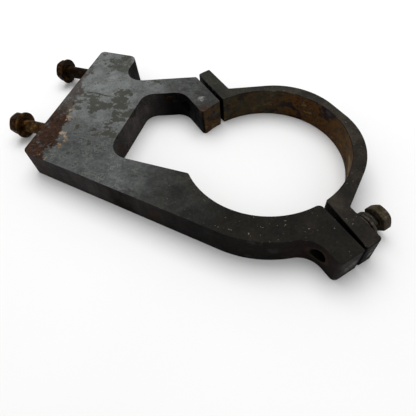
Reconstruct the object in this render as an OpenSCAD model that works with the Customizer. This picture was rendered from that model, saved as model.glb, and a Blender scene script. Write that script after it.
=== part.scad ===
// Boom cylinder bracket: a thick plate cut to shape, a half-ring clamp cap and three hex bolts.
// Units are millimetres and degrees. The bore axis is +Z, the origin is on it at the bottom face,
// and the flat mounting edge is the end of the plate at -X.

/* [Plate] */
// Plate thickness of body and cap
plate_t = 28; // [20:0.5:40]
// Bore axis to mounting edge
mount_x = 205.5; // [190:0.5:230]
// Top of the lug above the bore axis
lug_y = 86.5; // [80:0.5:105]
// Width of the lug along the plate
lug_w = 42.9; // [32:0.1:56]
// Slope of the long lower side
taper = 8; // [2:0.5:12]
// Slope of the arm above the pocket
arm_slope = 19.4; // [15:0.1:24]
// Distance of the arm's outer side from the bore axis
arm_off = 96.5; // [92:0.5:102]
// Width of the arm
arm_w = 21.8; // [15:0.1:27]
// Hollow fillet between lug and arm
lug_foot_r = 16; // [8:0.5:24]
// Rounded corner of the long side at the mounting edge
low_corner_r = 6; // [2:0.5:12]
// Rounded corner of the lug at the mounting edge
lug_out_r = 4.5; // [1:0.5:10]
// Rounded corner of the lug toward the ring
lug_in_r = 8.4; // [2:0.1:14]
// Rounded corner at the end of the arm
arm_end_r = 2; // [0.5:0.5:5]

/* [Ring] */
// Radius of the clamped tube
bore_r = 70; // [60:0.5:80]
// Wall of the ring half on the body
ring_wall = 22; // [18:0.5:30]
// Direction square to the split, from +X
split_a = 51; // [45:0.5:56]
// Body's split face below the bore axis
split_body = 1.7; // [0.5:0.1:4]
// Cap's split face above the bore axis, on the arm side
split_cap = 1.8; // [0.5:0.1:4]
// Cap's split face on the free side: height above the bore axis at the bore's edge
split_cap_free = 3.67; // [1:0.01:6]
// Slope of the cap's split face on the free side
split_cap_slope = 4; // [0:0.5:7]
// Thickness of the body's ears
ear_body_t = 21.6; // [16:0.1:28]
// Thickness of the cap's ears
ear_cap_t = 12.9; // [9:0.1:18]
// Clamp hole to ear end
ear_end_w = 18.6; // [14:0.1:26]
// Hollow fillet between ring and ear
ear_fillet_r = 20; // [10:0.5:30]
// Rounded outer corner of the body's ear
ear_r = 4.5; // [1:0.5:10]
// Rounded corner of the body's ear at the split
ear_split_r = 1; // [0.5:0.5:4]
// Rounded edge of the body's split face at the bore, on the arm side
split_arm_r = 1.5; // [0.5:0.5:4]
// Rounded edge of the body's split face at the bore, on the free side
split_free_r = 4; // [1:0.5:8]

/* [Pocket] */
// Steel between the mounting edge and the pocket
block_w = 75.3; // [60:0.1:90]
// Lower wall of the pocket below the bore axis
pocket_y = 45.6; // [38:0.1:52]
// Fillet at the pocket's lower corner
pocket_r_low = 18; // [8:0.5:26]
// Fillet at the pocket's upper corner
pocket_r_high = 13; // [6:0.5:20]
// Fillet between the arm and its ear
pocket_r_tip = 17; // [8:0.5:22]
// Rounded corner where the pocket's lower wall meets the bore
cusp_r = 2.5; // [1:0.5:6]
// Rounded corner where the arm's ear meets the bore
arm_tip_r = 3.5; // [1:0.5:8]

/* [Cap] */
// Thickness outside the bore at the crown
cap_crown_t = 7.8; // [6:0.1:12]
// Thickness outside the bore at the flat on the arm side
cap_arm_t = 7.2; // [6:0.1:12]
// Thickness outside the bore at the flat on the free side
cap_free_t = 10.2; // [7:0.1:13]
// Turn from the crown to each flat
cap_flat_a = 60; // [54:1:64]
// Radius between the crown and the flats
cap_round = 65; // [45:1:75]
// Rounding in the corner between flat and ear
cap_foot_r = 2; // [0.5:0.5:6]
// Rounding of the cap's split faces at the bore
cap_bore_r = 2; // [0.5:0.5:5]
// Rounding of the ears' fine corners
cap_fine_r = 1.5; // [0.5:0.5:4]
// Rounding of the ears' full corners
cap_ear_r = 3; // [1:0.5:6]

/* [Bolts] */
// Diameter of the bolts and of their tapped holes, M12
bolt_d = 12; // [10:0.5:14]
// Hex head across its flats
hex_af = 19; // [17:0.5:24]
// Height of the hex head
hex_h = 7.5; // [5:0.5:10]
// Height of the bevel at the head's corners
hex_bevel = 1.6; // [0.8:0.1:2.4]
// Length of the bolt's tapered end
bolt_point = 1; // [0.5:0.1:2]
// Length of the mounting bolts under the head
mount_bolt_l = 60; // [50:1:68]
// Length of the clamp bolt under the head
clamp_bolt_l = 45; // [35:1:60]
// Turn of the heads of the mounting bolts
mount_turn = 40; // [0:1:60]
// Turn of the head of the clamp bolt
clamp_turn = 37; // [0:1:60]
// Bore edge to clamp hole
clamp_off = 28; // [24:0.5:36]
// Clearance round the clamp bolt in the cap
clamp_clear = 0.75; // [0.25:0.25:1.5]
// Upper mounting bolt along the edge
bolt_y_up = 61.8; // [40:0.1:72]
// Lower mounting bolt along the edge
bolt_y_low = -24; // [-60:1:10]
// Depth of the tapped holes for the mounting bolts
blind_depth = 34; // [28:1:60]
// Mounting edge to the flat washer on the upper bolt
stand_up = 33.8; // [26:0.1:44]
// Mounting edge to the flat washer on the lower bolt
stand_low = 31.4; // [26:0.1:44]
// Gap between the clamp bolt's head and its spring washer
clamp_loose = 5.5; // [0:0.5:15]

/* [Washers] */
// Outer diameter of the flat washers
flat_d = 25; // [20:0.5:30]
// Thickness of the flat washers
flat_t = 2; // [1:0.1:4]
// Clearance round the bolt in a flat washer
flat_clear = 0.5; // [0.1:0.1:1.5]
// Outer diameter of the spring washers
spring_d = 21.5; // [18:0.5:24]
// Height of the single coil on the mounting bolt
spring_t = 2.5; // [1.5:0.1:5]
// Height of the double coil on the clamp bolt
spring_coil_t = 7.6; // [4:0.1:10]
// Clearance round the bolt in a spring washer
spring_clear = 0.2; // [0.1:0.1:1]
// Width of the cut in a spring washer
spring_cut = 2; // [0.5:0.5:4]
// Slope of that cut
cut_slope = 25; // [0:1:30]
// Turn of the cut on the mounting bolt
mount_cut = 150; // [0:5:355]
// Turn of the cut on the clamp bolt
clamp_cut = 200; // [0:5:355]

/* [Hidden] */
$fn = 96;
lap = 1;
// Arcs cross their sides by this much instead of only touching them, so that the cut is clean
bite = 1.0005;
far = 4 * mount_x;
// The bevel's cone is wider than the head's corners below, and narrower than its flats on top
hex_over = 2;
hex_under = 0.8;
steel = [0.30, 0.30, 0.32];
rust = [0.32, 0.22, 0.14];

// Unit vector at an angle
function dir(a) = [cos(a), sin(a)];
// Point from its place along the split (toward the free ear) and square to it
function sk(s, k) = s * [sin(split_a), -cos(split_a)] + k * dir(split_a);
// Crossing of two lines, each given by its normal's angle and its distance from the origin
function cross2(a, p, b, q) = [p * sin(b) - q * sin(a), q * cos(a) - p * cos(b)] / sin(b - a);
// Crossing of a line with a circle about the origin, on the side picked by sg
function on_circle(a, d, r, sg) = d * dir(a) + sg * sqrt(r * r - d * d) * [-sin(a), cos(a)];
// Half the angle between two directions, the middle of the arc that rounds a corner, the arc's reach
function half(a, b) = acos(dir(a) * dir(b)) / 2;
function middle(p, a, b, r) = p + (dir(a) + dir(b)) / norm(dir(a) + dir(b)) * r / sin(half(a, b));
function reach(a, b, r) = r / tan(half(a, b));
// Points that stand in for a hollow corner, before the circle about the middle one is cut away
function hollow(p, a, b, r) =
  [p + reach(a, b, r) * dir(a), middle(p, a, b, r), p + reach(a, b, r) * dir(b)];

// Places that several pieces share
mid_z = plate_t / 2;
outer_r = bore_r + ring_wall;
body_k = -split_body;
ear_body_k = -split_body - ear_body_t;
ear_cap_k = split_cap + ear_cap_t;
clamp_s = bore_r + clamp_off;
ear_end = clamp_s + ear_end_w;
lug_x = lug_w - mount_x;
pocket_x = block_w - mount_x;
low_n = -90 - taper;
arm_n = 90 + arm_slope;
low_corner = cross2(180, mount_x, low_n, outer_r);
lug_foot = cross2(0, lug_x, arm_n, arm_off);
arm_end = cross2(arm_n, arm_off, split_a, body_k);
high_corner = cross2(0, pocket_x, arm_n, arm_off - arm_w);
tip_corner = cross2(arm_n, arm_off - arm_w, split_a, ear_body_k);
ear_mid = on_circle(split_a, ear_body_k - ear_fillet_r, outer_r + ear_fillet_r, -1);

// What lies between a corner p and the arc of radius r about c that rounds it, from t0 to t1.
// It reaches a little past the corner, so that it clears the sides without a seam.
module sliver(p, t0, t1, c, r) {
  o = (p - c) / norm(p - c);
  difference() {
    polygon([t0, c, t1, t1 + lap * o, p + 2 * lap * o, t0 + lap * o]);
    translate(c) circle(bite * r);
  }
}

// Rounding of the outer corner of two straight sides that leave p at angles a and b
module corner(p, a, b, r) {
  t = reach(a, b, r);
  sliver(p, p + t * dir(a), p + t * dir(b), middle(p, a, b, r), r);
}

// Rounding of the outer corner where a straight side meets the bore.
// The side has its normal at angle a and distance d, and e tells to which side of it the steel lies.
module bore_corner(a, d, e, sg, r) {
  c = on_circle(a, d + e * r, bore_r + r, sg);
  sliver(on_circle(a, d, bore_r, sg), c - e * r * dir(a), c * bore_r / (bore_r + r), c, r);
}

module pocket_2d() {
  difference() {
    polygon([[pocket_x, -pocket_y], [-bore_r / 2, -pocket_y], [0, 0], sk(-bore_r / 2, ear_body_k),
      tip_corner, high_corner]);
    corner([pocket_x, -pocket_y], 0, 90, pocket_r_low);
    corner(high_corner, -90, arm_slope, pocket_r_high);
    corner(tip_corner, 180 + arm_slope, split_a - 90, pocket_r_tip);
  }
}

module body_2d() {
  difference() {
    union() {
      polygon(concat([low_corner, outer_r / bite * dir(low_n), [0, 0], arm_end],
        hollow(lug_foot, arm_slope, 90, lug_foot_r), [[lug_x, lug_y], [-mount_x, lug_y]]));
      circle(outer_r);
      polygon([ear_mid * outer_r / (outer_r + ear_fillet_r), ear_mid, ear_mid + ear_fillet_r * dir(split_a),
        sk(ear_end, ear_body_k), sk(ear_end, body_k), sk(bore_r, body_k)]);
    }
    translate(middle(lug_foot, arm_slope, 90, lug_foot_r)) circle(bite * lug_foot_r);
    translate(ear_mid) circle(bite * ear_fillet_r);
    circle(bore_r);
    pocket_2d();
    polygon([sk(-far, body_k), sk(far, body_k), sk(far, far), sk(-far, far)]);
    corner(low_corner, 90, -taper, low_corner_r);
    corner([-mount_x, lug_y], -90, 0, lug_out_r);
    corner([lug_x, lug_y], 180, -90, lug_in_r);
    corner(arm_end, 180 + arm_slope, split_a - 90, arm_end_r);
    corner(sk(ear_end, ear_body_k), split_a, split_a + 90, ear_r);
    corner(sk(ear_end, body_k), split_a + 180, split_a + 90, ear_split_r);
    bore_corner(90, -pocket_y, -1, 1, cusp_r);
    bore_corner(split_a, ear_body_k, 1, 1, arm_tip_r);
    bore_corner(split_a, body_k, -1, 1, split_arm_r);
    bore_corner(split_a, body_k, -1, -1, split_free_r);
  }
}

crown = bore_r + cap_crown_t;
free_n = split_a - split_cap_slope;
free_d = sk(bore_r, split_cap_free) * dir(free_n);
free_mid = cross2(free_n, free_d, split_a - 90, 0);
free_end = cross2(free_n, free_d, split_a - 90, ear_end);
// Directions of the flats, from ear to crown
left_side = split_a + cap_flat_a - 90;
right_side = split_a - cap_flat_a + 90;
left_top = cross2(split_a, crown, split_a + cap_flat_a, bore_r + cap_arm_t);
right_top = cross2(split_a, crown, split_a - cap_flat_a, bore_r + cap_free_t);
left_foot = cross2(split_a, ear_cap_k, split_a + cap_flat_a, bore_r + cap_arm_t);
right_foot = cross2(split_a, ear_cap_k, split_a - cap_flat_a, bore_r + cap_free_t);

module cap_2d() {
  difference() {
    polygon(concat([left_top], hollow(left_foot, left_side, split_a + 90, cap_foot_r),
      [sk(-ear_end, ear_cap_k), sk(-ear_end, split_cap), sk(0, split_cap),
      free_mid, free_end, sk(ear_end, ear_cap_k)],
      hollow(right_foot, split_a - 90, right_side, cap_foot_r), [right_top]));
    translate(middle(left_foot, left_side, split_a + 90, cap_foot_r)) circle(bite * cap_foot_r);
    translate(middle(right_foot, split_a - 90, right_side, cap_foot_r)) circle(bite * cap_foot_r);
    circle(bore_r);
    corner(left_top, split_a - 90, left_side + 180, cap_round);
    corner(right_top, split_a + 90, right_side - 180, cap_round);
    corner(sk(-ear_end, ear_cap_k), split_a - 90, split_a + 180, cap_fine_r);
    corner(sk(-ear_end, split_cap), split_a - 90, split_a, cap_ear_r);
    corner(sk(ear_end, ear_cap_k), split_a + 90, split_a + 180, cap_ear_r);
    corner(free_end, split_a, free_n + 90, cap_fine_r);
    bore_corner(split_a, split_cap, 1, 1, cap_bore_r);
    bore_corner(free_n, free_d, 1, -1, cap_bore_r);
  }
}

// Put a piece drawn along +Z so that +Z points square to the split, at place s along it
module on_clamp(s, k) {
  translate([sk(s, k)[0], sk(s, k)[1], mid_z]) rotate([0, 90, split_a]) children();
}

// Put a piece drawn along +Z so that +Z points out of the mounting edge
module on_mount(y, out) {
  translate([-mount_x - out, y, mid_z]) rotate([0, -90, 0]) children();
}

// Hex bolt with its head's underside at z = 0, head upward, shank downward
module hex_bolt(l) {
  ac = hex_af / cos(30);
  intersection() {
    cylinder(d = ac, h = hex_h, $fn = 6);
    union() {
      cylinder(d = 2 * ac, h = hex_h - hex_bevel);
      translate([0, 0, hex_h - hex_bevel])
        cylinder(d1 = ac + hex_over, d2 = hex_af - hex_under, h = hex_bevel);
    }
  }
  translate([0, 0, bolt_point - l]) cylinder(d = bolt_d, h = l - bolt_point + hex_h / 2);
  translate([0, 0, -l]) cylinder(d1 = bolt_d - 2 * bolt_point, d2 = bolt_d, h = bolt_point);
}

module flat_washer() {
  difference() {
    cylinder(d = flat_d, h = flat_t);
    translate([0, 0, -lap]) cylinder(d = bolt_d + 2 * flat_clear, h = flat_t + 2 * lap);
  }
}

// Split ring that stands for a coiled spring washer of height h
module spring_washer(h) {
  difference() {
    cylinder(d = spring_d, h = h);
    translate([0, 0, -lap]) cylinder(d = bolt_d + 2 * spring_clear, h = h + 2 * lap);
    translate([spring_d / 2, 0, h / 2]) rotate([cut_slope, 0, 0])
      cube([spring_d, spring_cut, 4 * h], center = true);
  }
}

// Plate cut to the outline, bored across for its bolts
module bracket_body() {
  color(steel) difference() {
    linear_extrude(plate_t) body_2d();
    on_clamp(clamp_s, ear_body_k - bolt_d) cylinder(d = bolt_d, h = ear_body_t + 2 * bolt_d);
    on_clamp(-clamp_s, ear_body_k - bolt_d) cylinder(d = bolt_d, h = ear_body_t + 2 * bolt_d);
    on_mount(bolt_y_up, -blind_depth) cylinder(d = bolt_d, h = blind_depth + lap);
    on_mount(bolt_y_low, -blind_depth) cylinder(d = bolt_d, h = blind_depth + lap);
  }
}

// Half ring that closes on the tube, with an ear at each end
module clamp_cap() {
  hole = bolt_d + 2 * clamp_clear;
  color(steel) difference() {
    linear_extrude(plate_t) cap_2d();
    on_clamp(clamp_s, body_k) cylinder(d = hole, h = ear_cap_k + 2 * split_body);
    on_clamp(-clamp_s, body_k) cylinder(d = hole, h = ear_cap_k + 2 * split_body);
  }
}

module clamp_bolt() {
  color(rust) on_clamp(clamp_s, ear_cap_k + flat_t + spring_coil_t + clamp_loose)
    rotate(clamp_turn) hex_bolt(clamp_bolt_l);
}

module clamp_flat_washer() {
  color(rust) on_clamp(clamp_s, ear_cap_k) flat_washer();
}

module clamp_spring_washer() {
  color(rust) on_clamp(clamp_s, ear_cap_k + flat_t) rotate(clamp_cut) spring_washer(spring_coil_t);
}

module upper_mount_bolt() {
  color(rust) on_mount(bolt_y_up, stand_up + flat_t) rotate(mount_turn) hex_bolt(mount_bolt_l);
}

module upper_mount_flat_washer() {
  color(rust) on_mount(bolt_y_up, stand_up) flat_washer();
}

module lower_mount_bolt() {
  color(rust) on_mount(bolt_y_low, stand_low + flat_t + spring_t) rotate(mount_turn) hex_bolt(mount_bolt_l);
}

module lower_mount_flat_washer() {
  color(rust) on_mount(bolt_y_low, stand_low) flat_washer();
}

module lower_mount_spring_washer() {
  color(rust) on_mount(bolt_y_low, stand_low + flat_t) rotate(mount_cut) spring_washer(spring_t);
}

bracket_body();
clamp_cap();
clamp_bolt();
clamp_flat_washer();
clamp_spring_washer();
upper_mount_bolt();
upper_mount_flat_washer();
lower_mount_bolt();
lower_mount_flat_washer();
lower_mount_spring_washer();
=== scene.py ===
# %% [markdown]
# Boom cylinder bracket, dressed from its CAD frame
#
# The bracket is a thick steel plate with a split ring at one end. A half-ring cap closes the ring
# on a cylinder tube, one clamp bolt is left in the cap, and two bolts stand out of the flat edge
# where the plate meets a machine. The CAD model already has the true shape and size of all of it.
# What it lacks is what a used part shows: broken edges, screw threads, coiled spring washers, and
# old paint that has turned to dust, stains and rust. This script adds those and changes no size.
#
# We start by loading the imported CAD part. Its nodes arrive as plain meshes at the origin, in
# metres, so a coordinate in a shader or in a formula below is a place on the real part. We keep
# the box that it fills, because nothing we add may reach outside it.

# %% Load the CAD frame
import math

import bmesh
import bpy
import numpy as np
from mathutils import Euler, Matrix, Vector


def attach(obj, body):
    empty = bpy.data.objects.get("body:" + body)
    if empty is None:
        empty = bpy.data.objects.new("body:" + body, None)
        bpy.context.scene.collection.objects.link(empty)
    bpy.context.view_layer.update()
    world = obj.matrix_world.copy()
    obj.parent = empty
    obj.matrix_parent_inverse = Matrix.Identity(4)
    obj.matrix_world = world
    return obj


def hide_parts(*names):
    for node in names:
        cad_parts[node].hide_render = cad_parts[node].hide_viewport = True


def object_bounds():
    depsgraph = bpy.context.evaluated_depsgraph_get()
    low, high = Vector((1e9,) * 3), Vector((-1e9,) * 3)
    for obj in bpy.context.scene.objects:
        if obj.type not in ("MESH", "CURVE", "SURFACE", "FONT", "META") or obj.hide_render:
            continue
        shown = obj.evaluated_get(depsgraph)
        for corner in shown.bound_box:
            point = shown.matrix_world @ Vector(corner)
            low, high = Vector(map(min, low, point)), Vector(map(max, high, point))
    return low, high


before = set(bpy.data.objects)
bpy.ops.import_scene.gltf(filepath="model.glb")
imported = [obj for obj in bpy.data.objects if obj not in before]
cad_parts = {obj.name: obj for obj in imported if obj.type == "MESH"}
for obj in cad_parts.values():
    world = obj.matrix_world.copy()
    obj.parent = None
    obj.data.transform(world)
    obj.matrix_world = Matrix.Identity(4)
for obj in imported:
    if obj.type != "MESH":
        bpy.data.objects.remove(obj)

cad_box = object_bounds()
MM = 0.001
print("CAD nodes:", len(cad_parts))
print("CAD box, mm:", [[round(c / MM, 1) for c in corner] for corner in cad_box])

# %% [markdown]
# The camera
#
# The photo looks down on the plate from its long lower side, at about 56 degrees above the
# floor. A camera could be aimed by eye with a target, but small errors in aim shift every edge.
# So the camera's place and its three angles were solved beforehand from the plate's own edges and
# the bore circle. The tilt is measured from looking straight down, and all angles are in degrees.

# %% Camera
CAMERA_PLACE = (0.045104, -0.218535, 0.269344)
CAMERA_TILT = 33.6090
CAMERA_ROLL = 4.3312
CAMERA_HEADING = 19.6392

camera_data = bpy.data.cameras.new("photo_camera")
camera_data.lens = 32.96
camera_data.sensor_width = 36.0
camera_data.clip_start = 0.01
camera_data.clip_end = 50.0
camera_data.dof.use_dof = False
camera = bpy.data.objects.new("photo_camera", camera_data)
bpy.context.scene.collection.objects.link(camera)
aim = Euler([math.radians(angle) for angle in (CAMERA_TILT, CAMERA_ROLL, CAMERA_HEADING)])
camera.matrix_world = Matrix.LocRotScale(Vector(CAMERA_PLACE), aim, None)
bpy.context.scene.camera = camera
bpy.context.scene.view_settings.view_transform = "Standard"
print("camera at", [round(c, 3) for c in camera.location])

# %% [markdown]
# Floor and light
#
# The photo's background is plain white. A pale floor under an even white sky gives the same
# calm light. One wide lamp hangs high and a little behind the part, so the top faces catch more
# than the sides that face us, as they do in the photo.

# %% Floor, sky and lamp
FLOOR_SIZE = 6.0
FLOOR_GAP = 0.0002
SKY_STRENGTH = 0.60
LAMP_PLACE = (-0.25, 0.55, 1.5)
LAMP_TILT = math.radians(-20.0)
LAMP_ROLL = math.radians(-8.0)


def build_floor():
    """A square at z = 0: the point for (u, v) is (size * (u - 1/2), size * (v - 1/2), 0)."""
    u, v = np.meshgrid((0.0, 1.0), (0.0, 1.0), indexing="ij")
    points = np.stack((u - 0.5, v - 0.5, np.zeros_like(u)), axis=-1) * FLOOR_SIZE
    mesh = bpy.data.meshes.new("floor")
    mesh.from_pydata(points.reshape(-1, 3).tolist(), [], [(0, 2, 3, 1)])
    obj = bpy.data.objects.new("floor", mesh)
    bpy.context.scene.collection.objects.link(obj)
    return obj


floor = build_floor()
floor.location.z = -FLOOR_GAP

world = bpy.data.worlds.new("studio")
world.use_nodes = True
sky = world.node_tree.nodes["Background"]
sky.inputs["Color"].default_value = (1.0, 1.0, 1.0, 1.0)
sky.inputs["Strength"].default_value = SKY_STRENGTH
bpy.context.scene.world = world

lamp_data = bpy.data.lights.new("softbox", "AREA")
lamp_data.shape = "RECTANGLE"
lamp_data.size = 1.6
lamp_data.size_y = 1.2
lamp_data.energy = 19.0
lamp = bpy.data.objects.new("softbox", lamp_data)
lamp.location = LAMP_PLACE
lamp.rotation_euler = (LAMP_TILT, LAMP_ROLL, 0.0)
bpy.context.scene.collection.objects.link(lamp)
print("floor of", FLOOR_SIZE, "m, lamp of", lamp_data.energy, "W")

# %% [markdown]
# From a grid of points to a mesh
#
# Threads, hex heads and coils are all surfaces of two numbers: a turn about an axis, and a way
# along a profile. We could model each by hand with the screw and bevel tools, but a formula says
# exactly what the shape is. The function below takes a whole array of points, rows by columns,
# and joins neighbours into quads. It can wrap either direction round and can close the two ends.

# %% Helper for surfaces
SMOOTH_ANGLE = math.radians(35.0)
WELD_DISTANCE = 1e-7


def grid_object(name, points, wrap_rows=False, wrap_columns=False, cap_ends=False):
    """A mesh object whose vertex (i, j) is points[i, j] and whose quads join (i, j) to its neighbours."""
    rows, columns = points.shape[:2]
    index = np.arange(rows * columns).reshape(rows, columns)
    if wrap_rows:
        index = np.vstack((index, index[:1]))
    if wrap_columns:
        index = np.hstack((index, index[:, :1]))
    quads = np.stack((index[:-1, :-1], index[1:, :-1], index[1:, 1:], index[:-1, 1:]), axis=-1)
    faces = quads.reshape(-1, 4).tolist()
    if cap_ends:
        faces.append(list(range(columns)))
        faces.append(list(range(rows * columns - 1, (rows - 1) * columns - 1, -1)))
    mesh = bpy.data.meshes.new(name)
    mesh.from_pydata(points.reshape(-1, 3).tolist(), [], faces)
    work = bmesh.new()
    work.from_mesh(mesh)
    bmesh.ops.remove_doubles(work, verts=work.verts, dist=WELD_DISTANCE)
    bmesh.ops.recalc_face_normals(work, faces=work.faces)
    work.to_mesh(mesh)
    work.free()
    mesh.shade_smooth()
    mesh.set_sharp_from_angle(angle=SMOOTH_ANGLE)
    obj = bpy.data.objects.new(name, mesh)
    bpy.context.scene.collection.objects.link(obj)
    return obj


def dress(piece, node):
    """Let a piece ride on the part and hide the CAD node that it stands for."""
    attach(piece, "root")
    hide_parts(node)
    print(node, "->", piece.name, len(piece.data.polygons), "faces")
    return piece

# %% [markdown]
# Where the bolts sit
#
# Each bolt and washer is drawn standing on its own Z axis, head up, in millimetres. Two frames
# carry them to the part. The clamp bolt's axis is square to the ring's split, 51 degrees from X.
# The two mounting bolts point straight out of the flat edge, toward minus X. The distances could
# be typed in, but the CAD nodes already know them. So we measure how far a node reaches along each
# axis of its frame, and take from that where it seats and how long it is.

# %% Bolt frames
SPLIT = math.radians(51.0)
CLAMP_AXES = np.array((
    (0.0, 0.0, -1.0),
    (-math.sin(SPLIT), math.cos(SPLIT), 0.0),
    (math.cos(SPLIT), math.sin(SPLIT), 0.0),
))
MOUNT_AXES = np.array(((0.0, 0.0, 1.0), (0.0, 1.0, 0.0), (-1.0, 0.0, 0.0)))
BOLT_AXES = {"clamp_bolt": CLAMP_AXES, "upper_mount_bolt": MOUNT_AXES, "lower_mount_bolt": MOUNT_AXES}


def reach(node, axes):
    """Lowest and highest places of a CAD node's vertices along three axes, in mm to a hundredth."""
    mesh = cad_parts[node].data
    corners = np.empty(len(mesh.vertices) * 3)
    mesh.vertices.foreach_get("co", corners)
    along = corners.reshape(-1, 3) @ axes.T / MM
    return np.round(along.min(axis=0), 2), np.round(along.max(axis=0), 2)


def centre_line(bolt):
    """Where a bolt's axis is across its frame's X and Y: the middle of its head, in mm."""
    low, high = reach(bolt, BOLT_AXES[bolt])
    return (low[:2] + high[:2]) / 2


def stand(points, level, bolt):
    """Carry points from a bolt's own frame to the part, in metres: (points + seat) times the axes.

    The seat is the bolt's centre line and a level along it.
    """
    seat = np.append(centre_line(bolt), level)
    return (points + seat) @ BOLT_AXES[bolt] * MM


for bolt_node in BOLT_AXES:
    print(bolt_node, "has its centre line at", centre_line(bolt_node), "in its frame")

# %% [markdown]
# The bolts
#
# A hex bolt could be a six-sided cylinder joined to a round one. Then the corner chamfer, which
# makes the curved lines on every real bolt head, would need a cut with a cone, and the thread
# would need a screw modifier. As a surface the whole bolt is one formula: a radius for each turn
# angle and each step from the head's crown to the point. On the head the radius is the smaller of
# a hexagon and a cone. On the thread it swings between the crest and the root along a helix, so a
# step of one pitch along the axis matches one full turn. Level zero is the head's underside.

# %% Head and shank of a bolt
# Lengths are in mm.
HEAD_WIDTH = 19.0  # across flats
HEAD_HEIGHT = 7.5
CHAMFER = 1.6  # height of the cone that takes the corners off
CROWN_INSET = 0.4  # from a flat in to the rim of the crown
CONE_PAST = 1.0  # how far past a corner the cone runs out
BLUNT = 0.985  # share of a corner's radius that is left
RIM = 0.5  # height of the rolled rim under the head
RIM_LEVELS = (0.22, 0.0)
RIM_SHARES = (0.985, 0.955)  # of the hexagon's radius, at the two levels
SHANK_R = 6.0
FILLET_WIDTH = 0.35  # of the corner between the head and the shank
FILLET_HEIGHT = 0.4
CREST_GAP = 0.03  # between the crest and the plain shank's radius
PITCH = 1.75
THREAD_DEPTH = 0.92
WAVE_GAIN = 1.35  # steepens the triangle wave, so that clipping leaves it a flat crest and root
WAVE_CUT = 0.15
POINT = 1.0  # length of the cone at the end
POINT_R = 4.4
STEPS_PER_TURN = 10  # rows along one pitch
COLUMNS = 96  # round the axis


def head_rows(angle):
    """Levels and radii of a hex head, from the middle of its crown down to the shank.

    The radius is the smaller of the hexagon, half the width over cos of the angle from the nearest
    flat, with its corners a little blunt, and a cone that widens down the chamfer.
    """
    flat = np.mod(angle, np.pi / 3) - np.pi / 6
    corner = HEAD_WIDTH / 2 / np.cos(np.pi / 6)
    hexagon = np.minimum(HEAD_WIDTH / 2 / np.cos(flat), BLUNT * corner)
    crown = HEAD_WIDTH / 2 - CROWN_INSET
    shoulder = HEAD_HEIGHT - CHAMFER
    level = np.concatenate((np.linspace(HEAD_HEIGHT, shoulder, 13), np.linspace(shoulder, RIM, 4)))
    widening = np.clip((HEAD_HEIGHT - level) / CHAMFER, 0.0, 1.0)
    cone = crown + (corner + CONE_PAST - crown) * widening
    sides = np.minimum(hexagon[None, :], cone[:, None])
    top = np.stack((np.zeros_like(angle), np.full_like(angle, BLUNT * crown)))
    rim = np.outer(RIM_SHARES, hexagon)
    fillet = np.full_like(angle, SHANK_R + FILLET_WIDTH)
    levels = np.concatenate(((HEAD_HEIGHT, HEAD_HEIGHT), level, RIM_LEVELS, (0.0,)))
    return levels, np.vstack((top, sides, rim, fillet))


def shank_rows(angle, length, plain):
    """Levels and radii of a shank, from under the head to the middle of its point.

    The radius is the crest less the depth times a clipped triangle wave of (level / pitch + angle /
    full turn), which fades in over one pitch below the plain length.
    """
    steps = int((length - plain) / PITCH * STEPS_PER_TURN)
    end = POINT - length
    level = np.concatenate((np.linspace(-FILLET_HEIGHT, -plain, 8), np.linspace(-plain, end, steps)[1:]))
    wave = np.mod(level[:, None] / PITCH + angle[None, :] / (2 * np.pi), 1.0)
    groove = np.clip(np.abs(2 * wave - 1) * WAVE_GAIN - WAVE_CUT, 0.0, 1.0)
    fade = np.clip((-plain - level) / PITCH, 0.0, 1.0)[:, None]
    crest = SHANK_R - CREST_GAP
    sides = crest - THREAD_DEPTH * groove * fade
    tip = np.stack([np.full_like(angle, r) for r in (crest - THREAD_DEPTH, POINT_R, 0.0)])
    return np.concatenate((level, (end, -length, -length))), np.vstack((sides, tip))

# %% [markdown]
# Three bolts from one formula
#
# Three separate models would have to be kept alike by hand. Here the head and the shank are stacked
# and turned about the axis, and the length and the seat come from each bolt's CAD node. Only the plain
# part of its shank and the turn of its head are written down, as the photo shows them.

# %% Hex bolts
def bolt_points(length, plain, turn_deg):
    """A bolt as rows along its profile and columns round its axis: (r cos a, r sin a, level)."""
    angle = np.arange(COLUMNS) * 2 * np.pi / COLUMNS
    head_level, head_r = head_rows(angle)
    shank_level, shank_r = shank_rows(angle, length, plain)
    level = np.concatenate((head_level, shank_level))[:, None]
    r = np.vstack((head_r, shank_r))
    turn = angle + math.radians(turn_deg)
    return np.stack((r * np.cos(turn), r * np.sin(turn), np.broadcast_to(level, r.shape)), axis=-1)


def hex_bolt(name, node, plain, turn_deg):
    """Build one bolt as long as its CAD node and seated where that node is."""
    low, high = reach(node, BOLT_AXES[node])
    underside = high[2] - HEAD_HEIGHT
    points = bolt_points(underside - low[2], plain, turn_deg)
    bolt = grid_object(name, stand(points, underside, node), wrap_columns=True)
    return dress(bolt, node)


clamp_bolt = hex_bolt("clamp_bolt_threaded", "clamp_bolt", plain=2.0, turn_deg=37.0)
upper_bolt = hex_bolt("upper_bolt_threaded", "upper_mount_bolt", plain=28.0, turn_deg=40.0)
lower_bolt = hex_bolt("lower_bolt_threaded", "lower_mount_bolt", plain=26.0, turn_deg=40.0)

# %% [markdown]
# Flat washers
#
# A flat washer is a rectangle turned about the axis, with its corners rolled by the punch. A
# cylinder with a hole would miss that rolled edge, which is the line of light round every real
# washer. So we write the outline once, with a quarter circle at each corner, and turn it.

# %% Flat washers
WASHER_BORE_R = 6.5
WASHER_ROLL = 0.45


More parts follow.
